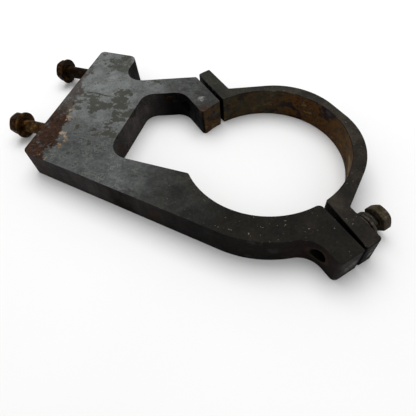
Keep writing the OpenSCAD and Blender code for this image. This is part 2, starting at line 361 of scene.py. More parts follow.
def rounded_section(inner, outer, height, roll):
    """Closed outline in (radius, z): a rectangle whose four corners are quarter circles of radius roll."""
    quarter = np.linspace(0.0, np.pi / 2, 5)
    centres = ((outer - roll, height - roll), (inner + roll, height - roll),
               (inner + roll, roll), (outer - roll, roll))
    arcs = []
    for i, (r, z) in enumerate(centres):
        angle = quarter + i * np.pi / 2
        arcs.append(np.stack((r + roll * np.cos(angle), z + roll * np.sin(angle)), axis=-1))
    return np.concatenate(arcs)


def turned(section, angle, lift):
    """A section carried round the axis: (r cos a, r sin a, z + lift) for each outline point and angle."""
    r = section[None, :, 0]
    z = section[None, :, 1] + lift[:, None]
    return np.stack((np.cos(angle)[:, None] * r, np.sin(angle)[:, None] * r, z), axis=-1)


def flat_washer(name, node, bolt):
    """Build one flat washer with the rim, thickness and seat of its CAD node."""
    low, high = reach(node, BOLT_AXES[bolt])
    width, _, thick = high - low
    section = rounded_section(WASHER_BORE_R, width / 2, thick, WASHER_ROLL)
    angle = np.arange(COLUMNS) * 2 * np.pi / COLUMNS
    points = turned(section, angle, np.zeros(COLUMNS))
    washer = grid_object(name, stand(points, low[2], bolt), wrap_rows=True, wrap_columns=True)
    return dress(washer, node)


clamp_flat = flat_washer("clamp_flat_washer_rolled", "clamp_flat_washer", "clamp_bolt")
upper_flat = flat_washer("upper_flat_washer_rolled", "upper_mount_flat_washer", "upper_mount_bolt")
lower_flat = flat_washer("lower_flat_washer_rolled", "lower_mount_flat_washer", "lower_mount_bolt")

# %% [markdown]
# Spring washers
#
# A spring washer is the same section carried along another path: a helix that stops short of
# closing. A torus would miss the split and the square wire. The washers on the clamp bolt are loose,
# and its spring washer shows two layers, so its helix makes two turns. The one on the lower bolt is
# pressed nearly flat and makes a single turn. Wire and rise together are the CAD node's height.

# %% Spring washers
COIL_BORE_R = 6.2
COIL_ROLL = 0.4


def spring_washer(name, node, bolt, wire, turns, start_deg):
    """Build one spring washer: its section turns from the start angle and rises evenly on the way."""
    low, high = reach(node, BOLT_AXES[bolt])
    width, _, height = high - low
    section = rounded_section(COIL_BORE_R, width / 2, wire, COIL_ROLL)
    way = np.linspace(0.0, 1.0, int(COLUMNS * turns) + 1)
    angle = math.radians(start_deg) + way * turns * 2 * np.pi
    points = turned(section, angle, (height - wire) * way)
    coil = grid_object(name, stand(points, low[2], bolt), wrap_columns=True, cap_ends=True)
    return dress(coil, node)


clamp_coil = spring_washer(
    "clamp_spring_washer_coiled", "clamp_spring_washer", "clamp_bolt",
    wire=2.4, turns=1.97, start_deg=228.0,
)
lower_coil = spring_washer(
    "lower_spring_washer_coiled", "lower_mount_spring_washer", "lower_mount_bolt",
    wire=2.0, turns=0.96, start_deg=157.0,
)

# %% [markdown]
# The plate and the cap, with broken edges
#
# The plate's outline and its holes are right in the CAD, and cutting them again would only risk
# errors. What looks wrong is that every edge is a perfect knife edge. No cut and painted plate has
# those. So we take a copy of each CAD mesh, merge the doubled corners that the file format makes,
# melt the triangles of each flat face into one face, and bevel every sharp edge by less than a
# millimetre. The bevel only takes steel away, so the part stays inside its box. We mark the new
# narrow faces with an attribute called edge, and the paint will wear through there.

# %% Plates with broken edges
EDGE_WIDTH = 0.9 * MM
MERGE_DISTANCE = 2e-6
FLAT_ANGLE = math.radians(0.1)
SHARP_ANGLE = math.radians(25.0)
CREASE_ANGLE = math.radians(38.0)


def broken_edges(node, name):
    """A merged copy of a CAD mesh with each edge past the sharp angle rounded over the edge width."""
    work = bmesh.new()
    work.from_mesh(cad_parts[node].data)
    bmesh.ops.remove_doubles(work, verts=work.verts, dist=MERGE_DISTANCE)
    bmesh.ops.dissolve_limit(
        work, angle_limit=FLAT_ANGLE, verts=work.verts, edges=work.edges, use_dissolve_boundaries=False,
    )
    mark = work.faces.layers.float.new("edge")
    sharp = [e for e in work.edges if len(e.link_faces) == 2 and e.calc_face_angle() > SHARP_ANGLE]
    made = bmesh.ops.bevel(
        work, geom=sharp, offset=EDGE_WIDTH, offset_type="OFFSET", segments=3, profile=0.5,
        affect="EDGES", clamp_overlap=True,
    )
    for face in made["faces"]:
        face[mark] = 1.0
    mesh = bpy.data.meshes.new(name)
    work.to_mesh(mesh)
    work.free()
    mesh.shade_smooth()
    mesh.set_sharp_from_angle(angle=CREASE_ANGLE)
    obj = bpy.data.objects.new(name, mesh)
    bpy.context.scene.collection.objects.link(obj)
    flatten = obj.modifiers.new("flat_faces_stay_flat", "WEIGHTED_NORMAL")
    flatten.keep_sharp = True
    flatten.weight = 80
    return dress(obj, node)


body = broken_edges("bracket_body", "bracket_body_worn")
cap = broken_edges("clamp_cap", "clamp_cap_worn")

# %% [markdown]
# A short way to write shader nodes
#
# A material is a small network of nodes. Placing them with the mouse is easy to see but hard to
# repeat. The class below adds a node, sets its plain inputs and links the others in one call, so
# each line of a material reads as a sentence. Numbers go straight onto the sockets.

# %% Nodes and sums
class Network:
    """The nodes of one material, and sums of their values."""

    def __init__(self, name):
        self.material = bpy.data.materials.new(name)
        self.material.use_nodes = True
        self.tree = self.material.node_tree
        self.shader = self.tree.nodes["Principled BSDF"]
        here = self.add("ShaderNodeTexCoord")
        self.place = here.outputs["Object"]
        self.facing = here.outputs["Normal"]

    def add(self, kind, inputs=None, **settings):
        """Add a node, set its settings, and link or set each named or numbered input."""
        node = self.tree.nodes.new(kind)
        for key, value in settings.items():
            setattr(node, key, value)
        for key, value in (inputs or {}).items():
            self.feed(node.inputs[key], value)
        return node

    def feed(self, socket, value):
        """Link a socket to an output, or write a number or colour on it."""
        if isinstance(value, bpy.types.NodeSocket):
            self.tree.links.new(value, socket)
        else:
            socket.default_value = value

    def math(self, operation, a, b=0.0):
        """One operation on one or two values."""
        return self.add("ShaderNodeMath", {0: a, 1: b}, operation=operation).outputs[0]

    def times(self, first, *others):
        """The product of several values."""
        for other in others:
            first = self.math("MULTIPLY", first, other)
        return first

    def plus(self, first, *others):
        """The sum of several values."""
        for other in others:
            first = self.math("ADD", first, other)
        return first

    def length(self, a, b):
        """The distance of a point (a, b) from zero: the root of the sum of the squares."""
        return self.math("SQRT", self.plus(self.times(a, a), self.times(b, b)))

# %% [markdown]
# Masks: where a coat lies
#
# A mask is a value from zero to one that says where a coat of paint, dust or rust lies. It could be
# painted by hand on a picture, but a picture has to be wrapped round the part and blurs up close.
# Here a mask comes from the place on the part: near a point, past a line, or between two lines. Noise
# makes its border ragged, because no stain has a straight one.

# %% Noise and masks
class Masks(Network):
    """Values from zero to one for places on the part. Distances are in metres."""

    def noise(self, scale, detail, rough=0.55, vector=None):
        """Smooth random values near one half, with scale bumps per metre."""
        inputs = {"Vector": vector or self.place, "Scale": scale, "Detail": detail, "Roughness": rough}
        return self.add("ShaderNodeTexNoise", inputs).outputs["Fac"]

    def step(self, value, low, high, to_low=0.0, to_high=1.0):
        """A smooth step from to_low, where value is low, to to_high, where it is high."""
        inputs = {"Value": value, "From Min": low, "From Max": high, "To Min": to_low, "To Max": to_high}
        return self.add("ShaderNodeMapRange", inputs, interpolation_type="SMOOTHSTEP").outputs["Result"]

    def band(self, value, rise, full, last, gone):
        """Zero up to rise, one from full to last, and zero again from gone on."""
        return self.times(self.step(value, rise, full), self.step(value, gone, last))

    def blotches(self, low, high, scale, detail, rough, vector=None):
        """A noise cut into blotches: zero where it is low, one where it is high."""
        return self.step(self.noise(scale, detail, rough, vector), low, high)

    def sway(self, noise, width):
        """A noise moved to swing about zero, to make a straight line wander."""
        return self.times(self.plus(noise, -0.5), width)

    def along(self, axis):
        """The place on the part measured along an axis."""
        inputs = {0: self.place, 1: tuple(axis)}
        return self.add("ShaderNodeVectorMath", inputs, operation="DOT_PRODUCT").outputs["Value"]

    def near(self, centre, inner, outer):
        """One within an inner distance of a centre, falling to zero at an outer one."""
        inputs = {0: self.place, 1: centre}
        apart = self.add("ShaderNodeVectorMath", inputs, operation="DISTANCE").outputs["Value"]
        return self.step(apart, outer, inner)

    def stretched(self, x, y, z):
        """The place on the part, scaled along each axis, for streaks."""
        return self.add("ShaderNodeMapping", {"Vector": self.place, "Scale": (x, y, z)}).outputs["Vector"]

# %% [markdown]
# Coats: what lies there
#
# A coat is a colour with a mask. Each is laid over the colour so far, as old paint, dust and rust lie
# over each other on steel. A stain that only darkens multiplies the colour instead, so the pattern
# below shows through it. At the end the colour goes to the shader with a gloss and some relief.

# %% Coats and finish
class Paint(Masks):
    """One material under construction: colours laid over each other, then the finished shader."""

    def ramp(self, value, stops):
        """A colour for each value, blended between stops of (place, colour)."""
        node = self.add("ShaderNodeValToRGB", {"Fac": value})
        elements = node.color_ramp.elements
        while len(elements) < len(stops):
            elements.new(0.5)
        for element, (where, colour) in zip(elements, stops):
            element.position = where
            element.color = (*colour, 1.0)
        return node.outputs["Color"]

    def blend(self, mask, under, over):
        """Lay one colour over another where the mask is one."""
        node = self.add("ShaderNodeMix", data_type="RGBA")
        self.feed(node.inputs[0], mask)
        for socket, value in ((node.inputs[6], under), (node.inputs[7], over)):
            self.feed(socket, value if isinstance(value, bpy.types.NodeSocket) else (*value, 1.0))
        return node.outputs[2]

    def lay(self, under, over, strength, *masks):
        """Lay one colour over another, at a strength up to one, where all the masks are one."""
        return self.blend(self.times(strength, *masks), under, over)

    def shade(self, colour, amount):
        """Multiply a colour by an amount or by another colour."""
        node = self.add("ShaderNodeMix", data_type="RGBA", blend_type="MULTIPLY")
        node.inputs[0].default_value = 1.0
        self.feed(node.inputs[6], colour)
        self.feed(node.inputs[7], amount)
        return node.outputs[2]

    def tone(self, colour, mask, level):
        """Multiply a colour by a level where the mask is one, and leave it where the mask is zero."""
        return self.shade(colour, self.step(mask, 0.0, 1.0, 1.0, level))

    def relief(self, layers):
        """Stack bump layers of (height, distance in metres, strength) onto the shader's normal."""
        normal = None
        for height, distance, strength in layers:
            inputs = {"Height": height, "Distance": distance, "Strength": strength}
            if normal is not None:
                inputs["Normal"] = normal
            normal = self.add("ShaderNodeBump", inputs).outputs["Normal"]
        self.feed(self.shader.inputs["Normal"], normal)

    def finish(self, colour, roughness, specular):
        """Connect the finished colour and gloss."""
        self.feed(self.shader.inputs["Base Color"], colour)
        self.feed(self.shader.inputs["Roughness"], roughness)
        self.feed(self.shader.inputs["Specular IOR Level"], specular)
        print(self.material.name, len(self.tree.nodes), "nodes")
        return self.material

# %% [markdown]
# Old paint on the plate
#
# The plate is not one colour. Its block end is chalky grey, the arm and the lower limb are darker,
# and the ring is nearly black with pale dust on it. A band of rust runs along the mounting edge,
# the bore wall is brown where the tube rubbed, and the sawn sides are dark. One painted picture
# could show that, but it would stretch over the sides and blur up close. So each of these is a coat
# of its own, in the cells that follow, where p is the paint under construction. First come the values
# that many coats share. The ground tone runs from the mounting edge to the far side of the ring, and
# noise breaks it up.

# %% Ground tone of the body and the cap
TOP = cad_box[1][2]
MIDDLE = TOP / 2
TONES_START = -0.215
TONES_LENGTH = 0.300
BODY_TONES = (
    (0.05, (0.113, 0.121, 0.118)), (0.30, (0.103, 0.109, 0.106)), (0.43, (0.068, 0.071, 0.068)),
    (0.55, (0.057, 0.057, 0.053)), (0.68, (0.0275, 0.0256, 0.0210)), (0.90, (0.0300, 0.0270, 0.0222)),
)
CAP_TONES = (
    (0.40, (0.0355, 0.0358, 0.0292)), (0.62, (0.037, 0.0355, 0.0288)),
    (0.91, (0.043, 0.0370, 0.0295)), (1.00, (0.0235, 0.0205, 0.0175)),
)


class PlatePaint(Paint):
    """Paint for a sawn plate: its colour so far, and the places and noises that its coats share."""

    def __init__(self, name, tones):
        super().__init__(name)
        self.x, self.y, self.z = self.add("ShaderNodeSeparateXYZ", {0: self.place}).outputs
        tilt = self.add("ShaderNodeSeparateXYZ", {0: self.facing}).outputs[2]
        self.upright = self.step(self.math("ABSOLUTE", tilt), 0.45, 0.8, 1.0, 0.0)
        self.along_bolt = self.along(CLAMP_AXES[2])
        self.along_split = self.along(-CLAMP_AXES[1])
        self.broad = self.noise(26.0, 5.0, 0.6)
        self.cloud = self.noise(80.0, 7.0, 0.66)
        self.grit = self.noise(520.0, 4.0, 0.7)
        self.ragged = self.noise(95.0, 10.0, 0.72, self.stretched(0.8, 1.2, 1.0))
        self.flake = self.noise(150.0, 11.0, 0.80)
        way = self.plus(self.x, self.sway(self.broad, 0.07), -TONES_START)
        self.colour = self.ramp(self.math("DIVIDE", way, TONES_LENGTH), tones)
        self.colour = self.shade(self.colour, self.step(self.cloud, 0.30, 0.70, 0.70, 1.25))
        self.colour = self.shade(self.colour, self.step(self.grit, 0.28, 0.72, 0.74, 1.24))


def put_on(coat, *paints):
    """Run one coat on each paint, from its colour so far to its new colour."""
    for p in paints:
        p.colour = coat(p, p.colour)
        print(coat.__name__, "on", p.material.name, len(p.tree.nodes), "nodes")


body_paint = PlatePaint("worn_plate_paint", BODY_TONES)
cap_paint = PlatePaint("worn_cap_paint", CAP_TONES)

# %% [markdown]
# Chalk on the block
#
# Weather has turned the grey paint of the block to chalk. It lies in soft clouds, with small peeled
# spots that are paler or darker, and there is less of it toward the lower corner. Two noises of
# different size give the clouds and the spots, and one mask keeps both on the block.

# %% Chalk and peeling
CHALK = (0.175, 0.184, 0.181)
PEELED_PALE = (0.190, 0.200, 0.197)
PEELED_DARK = (0.050, 0.050, 0.046)


def on_block(p):
    """One on the block and the lug, falling to zero where the arm and the limb begin."""
    return p.step(p.x, -0.075, -0.120)


def chalky_block(p, colour):
    """A darker lower part, chalk where a coarse noise is high, and peeled spots from a finer noise."""
    upper = p.step(p.y, -0.055, 0.010)
    colour = p.shade(colour, p.step(upper, 0.0, 1.0, 0.62, 1.0))
    chalk = p.times(p.blotches(0.50, 0.62, 64.0, 9.0, 0.72), p.step(upper, 0.0, 1.0, 0.3, 1.0))
    colour = p.lay(colour, CHALK, 0.4, on_block(p), chalk)
    peel = p.times(on_block(p), p.step(upper, 0.0, 1.0, 0.25, 1.0))
    colour = p.lay(colour, PEELED_PALE, 0.30, peel, p.step(p.flake, 0.55, 0.62))
    return p.lay(colour, PEELED_DARK, 0.40, peel, p.step(p.flake, 0.43, 0.37))


put_on(chalky_block, body_paint)

# %% [markdown]
# Flaked patches
#
# In some places the paint has come off in dark, ragged patches with a pale rim. Noise alone would
# scatter them anywhere. So we add a hill to the noise at each place where the photo has a patch, and
# the paint is lost where the sum passes a limit. A slightly lower limit gives the rim.

# %% Flaked patches
FLAKE_RIM = (0.185, 0.192, 0.188)
FLAKED = (0.039, 0.039, 0.031)
# Each place has a centre, the radius of the hill's flat top, the radius of its foot and its height.
FLAKED_PLACES = (
    ((-0.180, 0.010, TOP), 0.008, 0.022, 0.100),
    ((-0.166, 0.007, TOP), 0.006, 0.018, 0.075),
    ((-0.152, 0.011, TOP), 0.006, 0.014, 0.080),
    ((-0.150, 0.026, TOP), 0.007, 0.013, 0.170),
    ((-0.139, 0.005, TOP), 0.008, 0.016, 0.170),
    ((-0.148, -0.022, TOP), 0.006, 0.018, 0.085),
    ((-0.140, -0.023, TOP), 0.004, 0.014, 0.060),
    ((-0.184, 0.076, TOP), 0.012, 0.024, 0.070),
    ((-0.170, 0.082, TOP), 0.006, 0.018, 0.050),
)


def flaked_patches(p, colour):
    """Lost paint where ragged noise plus fine noise plus the hills pass a limit, with a rim before it."""
    field = p.plus(p.ragged, p.sway(p.flake, 0.85))
    for centre, inner, outer, height in FLAKED_PLACES:
        field = p.plus(field, p.times(p.near(centre, inner, outer), height))
    colour = p.lay(colour, FLAKE_RIM, 0.45, on_block(p), p.step(field, 0.550, 0.585))
    return p.lay(colour, FLAKED, 0.90, on_block(p), p.step(field, 0.600, 0.618))


put_on(flaked_patches, body_paint)

# %% [markdown]
# Single marks on the block
#
# A few marks are there only once: a crack that wanders across the block, a damp patch on the lug, a
# darker arm, and places that are a little paler or darker than the rest. A general noise would never
# put them in the right place, so each has a mask of its own. Small dark spots come from noise again.

# %% Crack, damp and spots
CRACK = (0.026, 0.025, 0.020)
DAMP = (0.048, 0.048, 0.040)
SPOTS = (0.030, 0.028, 0.024)
CRACK_Y = 0.0220
DAMP_PLACE = (-0.171, 0.069, TOP)
DAMP_SLANT = 0.24
PALE_PLACE = (-0.176, 0.034, TOP)
DUSKY_PLACE = (-0.163, -0.036, TOP)


def crack_and_damp(p, colour):
    """A dark line that wanders about one y, and a round patch cut off below a line y + slant * x."""
    off_line = p.plus(p.y, -CRACK_Y, p.sway(p.cloud, 0.012))
    crack = p.step(p.math("ABSOLUTE", off_line), 0.0013, 0.0006)
    colour = p.lay(colour, CRACK, 0.8, crack, p.band(p.x, -0.191, -0.186, -0.166, -0.158))
    damp = p.times(p.near(DAMP_PLACE, 0.009, 0.016), p.step(p.ragged, 0.42, 0.45))
    above_line = p.step(p.plus(p.y, p.times(p.x, DAMP_SLANT)), 0.0182, 0.0190)
    return p.lay(colour, DAMP, 0.80, damp, above_line, p.step(p.flake, 0.58, 0.50))


def shaded_places(p, colour):
    """A darker arm, spots in the broad noise's high places, and three places made paler or darker."""
    arm = p.times(p.step(p.x, -0.135, -0.100), p.step(p.y, 0.016, 0.032))
    colour = p.tone(colour, arm, 0.76)
    spots = p.times(p.blotches(0.62, 0.66, 230.0, 6.0, 0.72), p.step(p.broad, 0.44, 0.56))
    colour = p.lay(colour, SPOTS, 0.65, on_block(p), spots)
    colour = p.tone(colour, p.near(PALE_PLACE, 0.014, 0.034), 1.20)
    colour = p.tone(colour, p.near(DUSKY_PLACE, 0.010, 0.028), 0.84)
    under_pocket = p.times(p.band(p.x, -0.135, -0.112, -0.092, -0.075), p.step(p.y, -0.035, -0.048))
    return p.tone(colour, under_pocket, 1.35)


put_on(crack_and_damp, body_paint)
put_on(shaded_places, body_paint)

# %% [markdown]
# Streaks and smoke
#
# Between the block and the ring, the limb and the arm have long streaks, dark ones and a few pale.
# A noise squeezed along Y and pulled along X makes them. The ring itself is smoky: its dark paint
# changes from cool to warm grey in soft clouds. Smoke multiplies the colour, so the grain stays.

# %% Streaks and smoke
STREAK_DARK = (0.020, 0.020, 0.019)
STREAK_PALE = (0.105, 0.108, 0.105)
CLEAN = (1.0, 1.0, 1.0)
SMOKE = ((0.36, (0.50, 0.52, 0.53)), (0.50, (0.72, 0.72, 0.71)), (0.63, (0.94, 0.88, 0.82)))


def streaked_limb(p, colour):
    """Dark and pale streaks from the high and the low places of a stretched noise."""
    limb = p.band(p.x, -0.118, -0.085, -0.060, -0.020)
    streak = p.noise(90.0, 8.0, 0.72, p.stretched(0.60, 1.35, 1.0))
    colour = p.lay(colour, STREAK_DARK, 0.6, limb, p.step(streak, 0.53, 0.62))
    return p.lay(colour, STREAK_PALE, 0.2, limb, p.step(streak, 0.44, 0.36))


def smoke(p):
    """Clouds of grey to multiply a colour by."""
    return p.ramp(p.noise(42.0, 8.0, 0.72), SMOKE)


def smoky_ring(p, colour):
    """The colour times the smoke on the ring, and as it was on the block."""
    ring = p.step(p.x, -0.090, -0.040)
    return p.shade(colour, p.blend(ring, CLEAN, smoke(p)))


def smoky_cap(p, colour):
    """The colour times the smoke all over."""
    return p.shade(colour, smoke(p))


put_on(streaked_limb, body_paint)
put_on(smoky_ring, body_paint)
put_on(smoky_cap, cap_paint)

# %% [markdown]
# The sawn sides
#
# The upright sides are far darker than the top. They start
# as the top's own colour times a dark tint, so the two belong together. Brown stains, a black stain
# under the limb, a reddish mouth round the open clamp hole and a pale haze lie over that.

# %% Sawn sides
SIDE_TINT = ((0.30, (0.145, 0.116, 0.115)), (0.50, (0.28, 0.229, 0.226)), (0.70, (0.45, 0.380, 0.371)))
SIDE_BROWN = (0.022, 0.011, 0.006)
SIDE_BLACK = (0.0034, 0.0015, 0.0007)
MOUTH_RED = (0.0065, 0.0035, 0.0026)
HAZE = (0.026, 0.027, 0.029)
MOUTH_PLACE = (0.050, -0.088, MIDDLE)


def side_stains(p, top_colour):
    """The top's colour times a tint, with a brown, a black and a reddish stain and a haze."""
    tint = p.ramp(p.noise(55.0, 6.0, 0.66, p.stretched(1.0, 1.0, 0.45)), SIDE_TINT)
    sides = p.shade(p.shade(top_colour, tint), p.step(p.x, -0.150, -0.110, 1.22, 1.0))
    brown = p.times(p.blotches(0.58, 0.68, 34.0, 4.0, 0.6), p.step(p.x, 0.010, -0.030))
    sides = p.lay(sides, SIDE_BROWN, 0.7, brown)
    black = p.times(p.band(p.x, -0.124, -0.108, -0.094, -0.086), p.step(p.y, -0.050, -0.060))
    sides = p.lay(sides, SIDE_BLACK, 0.96, black, p.step(p.cloud, 0.24, 0.40))
    sides = p.lay(sides, MOUTH_RED, 0.8, p.near(MOUTH_PLACE, 0.012, 0.030), p.step(p.cloud, 0.42, 0.56))
    haze = p.times(p.step(p.x, -0.010, 0.015), p.step(p.y, -0.075, -0.082))
    return p.lay(sides, HAZE, 0.6, haze, p.step(p.cloud, 0.50, 0.64))

# %% [markdown]
# Ears, and painted shade in corners
#
# The ears stick out and get knocked, so their outer ends are scuffed to grey, with bright scratches.
# In the split, the pocket and the nook beside the lug hardly any light comes in. The renderer makes its
# own shadows there, and more shade is painted into the colour on top of them. When the sides have
# all their coats, they are laid over the top's colour where the surface is upright.

# %% Ear ends and painted corner shade
END_GREY = (0.036, 0.034, 0.031)
SCUFF = (0.095, 0.090, 0.083)
SCRATCH = (0.150, 0.148, 0.142)
EAR_BROWN = (0.0125, 0.0068, 0.0054)
SCRATCHED_PLACES = ((0.0842, -0.0813, MIDDLE - MM), (0.0952, -0.0677, MIDDLE))


def ear_ends(p, sides):
    """Grey and scuffs past a place along the split, scratches near two points, brown under the ear."""
    ends = p.step(p.along_split, 0.113, 0.1155)
    sides = p.lay(sides, END_GREY, 0.60, ends, p.step(p.cloud, 0.36, 0.60))
    scuff = p.blotches(0.57, 0.66, 120.0, 6.0, 0.66, p.stretched(1.0, 1.0, 1.8))
    sides = p.lay(sides, SCUFF, 0.60, ends, scuff)
    scratch = p.blotches(0.50, 0.57, 260.0, 6.0, 0.66, p.stretched(0.6, 0.6, 2.2))
    for centre in SCRATCHED_PLACES:
        sides = p.lay(sides, SCRATCH, 0.70, p.near(centre, 0.0030, 0.0085), scratch)
    under_ear = p.times(p.step(p.along_bolt, -0.0200, -0.0228), p.step(p.along_split, 0.070, 0.090))
    return p.lay(sides, EAR_BROWN, 0.65, under_ear, p.step(p.cloud, 0.36, 0.58))


# Painted shade: the split, the pocket and the nook beside the lug are darkened in the colour itself.
def painted_corner_shade(p, sides):
    """Painted shade for the little light left in the split, in the pocket and in the nook beside the lug.
    """
    split = p.step(p.math("ABSOLUTE", p.plus(p.along_bolt, -0.0008)), 0.0060, 0.0035)
    sides = p.tone(sides, split, 0.10)
    pocket = p.times(p.band(p.x, -0.130, -0.102, -0.060, -0.048), p.step(p.y, -0.010, 0.015))
    sides = p.tone(sides, pocket, 0.05)
    nook = p.times(p.band(p.x, -0.172, -0.162, -0.128, -0.118), p.step(p.y, 0.044, 0.052))
    return p.tone(sides, nook, 0.22)


def sawn_sides(p, colour):
    """The sides' coats and painted corner shade where the surface is upright, and the colour so far
    elsewhere.
    """
    sides = painted_corner_shade(p, ear_ends(p, side_stains(p, colour)))
    return p.blend(p.upright, colour, sides)


put_on(sawn_sides, body_paint, cap_paint)

# %% [markdown]
# Rust along the mounting edge
#
# Water stands in the joint where the plate meets the machine, so rust has crept in from that edge. Its
# border is slanted and ragged, and chips of paint are still left in it. At the lower half its front is
# gold, where the rust is youngest. A value called depth measures how far a place is past the edge,
# bent by noise. The rust and its front read it, and the corner of the edge itself is rusty all along.

# %% Rusty mounting edge
RUST = (
    (0.30, (0.010, 0.0038, 0.0017)), (0.48, (0.024, 0.0092, 0.0038)),
    (0.62, (0.044, 0.0185, 0.0078)), (0.80, (0.100, 0.050, 0.022)),
)
GOLD = ((0.40, (0.240, 0.115, 0.035)), (0.62, (0.300, 0.235, 0.160)))
MOUNT_EDGE = reach("bracket_body", MOUNT_AXES)[1][2] * MM
RUST_SLANT = 0.24
RUST_START = 0.0020


def rusty_edge(p, colour):
    """Depth = distance from the mounting edge + slant * y + noise: rust first, then gold flecks."""
    inward = p.plus(p.x, MOUNT_EDGE)
    depth = p.plus(inward, -RUST_START, p.times(p.y, RUST_SLANT))
    depth = p.plus(depth, p.sway(p.cloud, 0.030), p.sway(p.flake, 0.026))
    depth = p.plus(depth, p.step(p.y, -0.046, -0.064, 0.0, 0.010))
    rust = p.ramp(p.noise(190.0, 6.0, 0.7), RUST)
    chips = p.step(p.flake, 0.53, 0.59, 0.95, 0.30)
    thin = p.times(p.step(p.y, -0.020, 0.012, 1.0, 0.66), p.step(p.upright, 0.3, 0.7, 1.0, 0.25))
    colour = p.lay(colour, rust, 1.0, p.step(depth, 0.0155, 0.0105), chips, thin)
    foot = p.times(p.step(inward, 0.0009, 0.0002), p.step(p.flake, 0.40, 0.58, 1.0, 0.45))
    colour = p.blend(foot, colour, rust)
    front = p.times(p.band(depth, 0.0080, 0.0115, 0.0170, 0.0235), p.step(p.y, 0.012, -0.012))
    flecks = p.times(p.blotches(0.55, 0.62, 170.0, 5.0, 0.62), p.step(p.upright, 0.6, 0.3))
    return p.lay(colour, p.ramp(p.noise(120.0, 2.0), GOLD), 0.9, front, flecks)


put_on(rusty_edge, body_paint)

# %% [markdown]
# The worn bore
#
# The tube has rubbed the bore's wall, and damp has rusted it since. It shows dark scale, orange and
# ochre in patches, so a single noise runs through a ramp of seven colours. The free side is tan, and
# the arm's side is olive with pale crumbs. The wall is found by its distance from the bore's axis.

# %% Worn bore
BORE_R = 0.070
WORN = (
    (0.33, (0.028, 0.0245, 0.0300)), (0.40, (0.0065, 0.0045, 0.0060)),
    (0.445, (0.017, 0.0100, 0.0060)), (0.490, (0.072, 0.0290, 0.0050)),
    (0.53, (0.017, 0.0115, 0.0085)), (0.575, (0.080, 0.0400, 0.0090)), (0.66, (0.150, 0.104, 0.048)),
)
TAN = (0.096, 0.055, 0.020)
OLIVE = (0.027, 0.026, 0.016)
CRUMBS = (0.066, 0.054, 0.030)
BORE_TIP = (0.058, 0.041, 0.020)
BORE_TIP_PLACE = (-0.058, 0.031, MIDDLE)


def worn_bore(p, colour):
    """Worn steel where the surface is upright and the root of x squared plus y squared is the bore."""
    worn = p.ramp(p.noise(34.0, 7.0, 0.68, p.stretched(1.0, 1.0, 1.5)), WORN)
    worn = p.lay(worn, TAN, 0.50, p.step(p.x, 0.036, 0.060), p.step(p.cloud, 0.40, 0.58))
    arm_side = p.times(p.step(p.x, 0.012, -0.014), p.step(p.along_bolt, 0.000, 0.004))
    olive = p.times(arm_side, p.step(p.cloud, 0.38, 0.56, 0.25, 1.0))
    worn = p.lay(worn, OLIVE, 0.75, olive)
    crumbs = p.times(p.blotches(0.54, 0.63, 190.0, 7.0, 0.72), p.step(p.x, -0.036, -0.014))
    worn = p.lay(worn, CRUMBS, 0.7, olive, crumbs)
    worn = p.lay(worn, BORE_TIP, 0.7, p.near(BORE_TIP_PLACE, 0.010, 0.022), p.step(p.cloud, 0.40, 0.56))
    wall = p.step(p.length(p.x, p.y), BORE_R + 0.0012, BORE_R + 0.0006)
    return p.lay(colour, worn, 0.95, wall, p.upright)


put_on(worn_bore, body_paint, cap_paint)

# %% [markdown]
# Worn edges and specks
#
# The broken edges carry the attribute that we gave them. Most of an edge is painted dark, and short
# stretches are rubbed to bare steel. Three marks near the arm and the pocket are put where the photo
# has them: one scrape and two rusty ones. Last come pale specks of grit on the ring's top.

# %% Worn edges
EDGE_DARK = (0.0055, 0.0040, 0.0032)
EDGE_BARE = (0.120, 0.108, 0.096)
SPECKS = (0.165, 0.155, 0.125)
# Each mark has a centre, an inner and an outer radius, two limits of noise, a strength and a colour.
EDGE_MARKS = (
    ((-0.0735, 0.0415, TOP), 0.0022, 0.0050, 0.46, 0.54, 0.85, (0.220, 0.222, 0.214)),
    ((-0.0640, 0.0280, TOP - MM), 0.0050, 0.0110, 0.44, 0.56, 0.75, (0.036, 0.017, 0.008)),
    ((-0.1050, 0.0440, TOP - MM), 0.0060, 0.0160, 0.53, 0.60, 0.85, (0.030, 0.015, 0.007)),
)


def worn_edges(p, colour):
    """Dark paint and bare steel where the edge attribute is one, and three marks near their centres."""
    edge = p.add("ShaderNodeAttribute", attribute_name="edge").outputs["Fac"]
    colour = p.lay(colour, EDGE_DARK, 0.95, edge, p.step(p.noise(70.0, 4.0, 0.6), 0.66, 0.52))
    for centre, inner, outer, low, high, strength, over in EDGE_MARKS:
        colour = p.lay(colour, over, strength, p.near(centre, inner, outer), p.step(p.flake, low, high))
    return p.lay(colour, EDGE_BARE, 0.6, edge, p.blotches(0.57, 0.66, 110.0, 5.0, 0.7))


def gritty_top(p, colour):
    """Specks where a fine noise is highest, on the top from the limb to the ring."""
    where = p.times(p.step(p.x, -0.14, 0.0), p.step(p.upright, 0.6, 0.2))
    return p.lay(colour, SPECKS, 0.80, p.blotches(0.700, 0.735, 560.0, 2.0, 0.5), where)


put_on(worn_edges, body_paint, cap_paint)
put_on(gritty_top, body_paint, cap_paint)

# %% [markdown]
# The clamp holes, gloss and relief
#
# Inside the clamp bolts' holes shade is painted nearly black, and round the mouth of the free one, under
# the ear, there is a rusty collar. A mask for a hole needs the distance from the hole's axis, which lies
# as far along the split as the clamp bolt does. Then the paint is finished: old paint is dull, clouds and
# grit lift it a little, and the sawn sides have fine upright lines from the blade.

# %% Clamp holes and finish
COLLAR = (0.030, 0.0165, 0.0100)
HOLE_SHADE = (0.0025, 0.0018, 0.0014)
HOLE_PLACE = abs(centre_line("clamp_bolt")[1]) * MM


